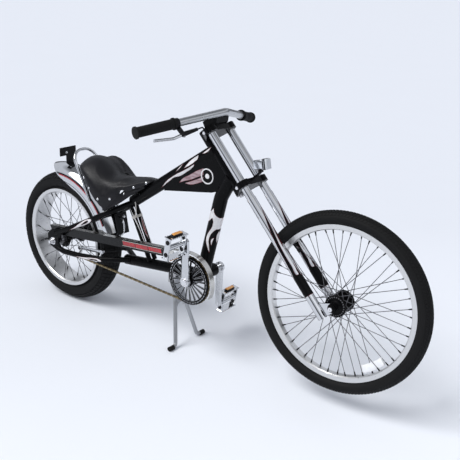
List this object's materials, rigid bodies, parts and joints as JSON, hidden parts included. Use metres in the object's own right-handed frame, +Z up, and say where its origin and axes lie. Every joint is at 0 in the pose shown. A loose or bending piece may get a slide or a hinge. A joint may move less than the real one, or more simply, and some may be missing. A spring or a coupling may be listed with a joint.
{
  "type": "chopper bicycle",
  "caption": "Long chopper-style bicycle with a fat rear wheel, raked twin-leg fork, low padded seat and a folding centre stand; wheels, steering, crank, pedals and stand move.",
  "frame": {"origin": "on the floor, under the middle of the length and width of the parked bicycle", "axes": "+X forwards along the frame, +Y to the rider's left, +Z up"},
  "size_m": [1.8651, 0.6709, 0.9228],
  "materials": {
    "tyre": "matt black",
    "rim": "satin silver",
    "spoke": "dark satin",
    "black_paint": "gloss black",
    "frame_paint": "gloss black",
    "bright_steel": "bright",
    "steel": "satin",
    "gold_chain": "gold-brown",
    "polished": "polished",
    "chrome": "chrome plate",
    "guard": "gloss black",
    "black_plastic": "satin black",
    "seat_cover": "satin black vinyl",
    "bar_alloy": "satin",
    "grip_rubber": "matt black",
    "foot_rubber": "matt black",
    "lamp": "bright silver",
    "reflector": "amber",
    "cast_alloy": "plain casting"
  },
  "bodies": {
    "frame": {"head_tube": "frame_paint", "bottom_bracket": "frame_paint", "keel_tube": "frame_paint", "top_tube": "frame_paint", "down_tube": "frame_paint", "gusset": "frame_paint", "chainstay_left": "frame_paint", "chainstay_right": "frame_paint", "seat_stay_left": "frame_paint", "seat_stay_right": "frame_paint", "seat_struts": "frame_paint", "dropouts": "frame_paint", "rear_axle": "bright_steel", "rear_fender": "chrome", "sissy_bar": "chrome", "tail_bracket": "black_plastic", "fender_plate": "black_plastic", "seat": "seat_cover", "seat_carrier": "steel", "stay_bridge": "frame_paint", "chain": "gold_chain", "chain_guard": "guard", "stand_bracket": "steel"},
    "steering": {"fork_legs": "chrome", "fork_ends": "chrome", "front_axle": "bright_steel", "lower_clamp": "black_paint", "upper_clamp": "black_paint", "steerer": "steel", "riser": "black_paint", "handlebar": "bar_alloy", "grips": "grip_rubber", "brake_bracket": "black_plastic", "brake_lever": "polished", "brake_cable": "black_plastic", "headlamp": "lamp", "lamp_bracket": "black_paint"},
    "front_wheel": {"front_tyre": "tyre", "front_rim": "rim", "front_hub": "black_paint", "front_spokes": "spoke"},
    "rear_wheel": {"rear_tyre": "tyre", "rear_rim": "rim", "rear_hub": "black_paint", "rear_spokes": "spoke", "sprocket": "steel"},
    "crankset": {"crank": "polished", "chainring": "black_paint"},
    "pedal_right": {"pedal_right": "chrome", "reflectors_right": "reflector"},
    "pedal_left": {"pedal_left": "chrome", "reflectors_left": "reflector"},
    "stand": {"centre_stand": "cast_alloy", "stand_feet": "foot_rubber"}
  },
  "joints": [
    {"name": "steering_turn", "type": "hinge", "parent": "frame", "child": "steering", "pos_m": [0.5513, 0, 0.2947], "axis": [-0.6756, 0, 0.7373], "range_deg": [-50, 40]},
    {"name": "front_wheel_spin", "type": "hinge", "parent": "steering", "child": "front_wheel", "pos_m": [0.62771, 0.00906, 0.36474], "axis": [-0.0643, 0.9962, -0.0589], "continuous": true},
    {"name": "rear_wheel_spin", "type": "hinge", "parent": "frame", "child": "rear_wheel", "pos_m": [-0.658, 0, 0.275], "axis": [0, 1, 0], "continuous": true},
    {"name": "crank_spin", "type": "hinge", "parent": "frame", "child": "crankset", "pos_m": [0.066, 0, 0.306], "axis": [0, 1, 0], "continuous": true},
    {"name": "pedal_right_spin", "type": "hinge", "parent": "crankset", "child": "pedal_right", "pos_m": [0.066, -0.155, 0.458], "axis": [0, 1, 0], "continuous": true},
    {"name": "pedal_left_spin", "type": "hinge", "parent": "crankset", "child": "pedal_left", "pos_m": [0.066, 0.155, 0.154], "axis": [0, 1, 0], "continuous": true},
    {"name": "stand_fold", "type": "hinge", "parent": "frame", "child": "stand", "pos_m": [-0.058, 0, 0.2563], "axis": [0, 1, 0], "range_deg": [0, 80]}
  ]
}
